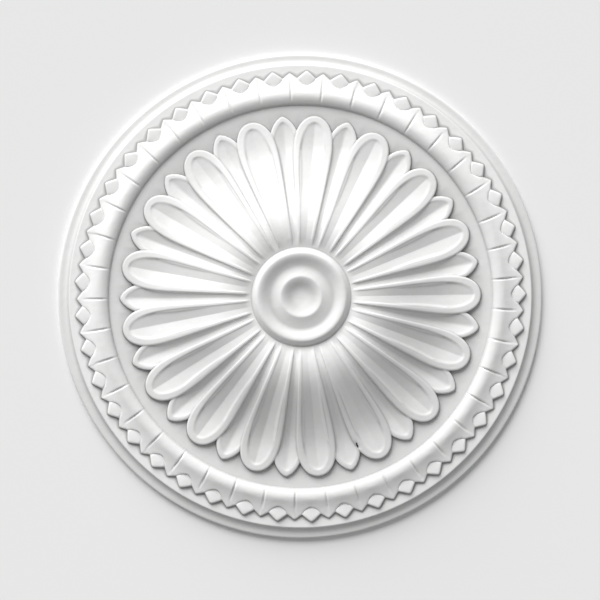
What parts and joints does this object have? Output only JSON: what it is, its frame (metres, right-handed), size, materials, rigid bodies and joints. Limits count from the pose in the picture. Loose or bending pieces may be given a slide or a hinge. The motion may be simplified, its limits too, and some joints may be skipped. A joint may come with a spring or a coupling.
{
  "type": "ceiling rose",
  "caption": "Round cast plaster ceiling rose: petals falling from a raised crown and turned boss, ringed by a jointed half-round and a band of lozenges and points.",
  "frame": {"origin": "centre of the flat back, on the plane that is bedded against the ceiling", "axes": "+Z out of the carved face along the rose's axis, +X along the middle of one large petal and one lozenge; on a ceiling the rose is turned over, so that +Z points down"},
  "size_m": [0.6, 0.6, 0.06],
  "materials": {
    "plaster": "matt white cast plaster"
  },
  "bodies": {
    "root": {"ceiling_rose": "plaster"}
  },
  "joints": []
}
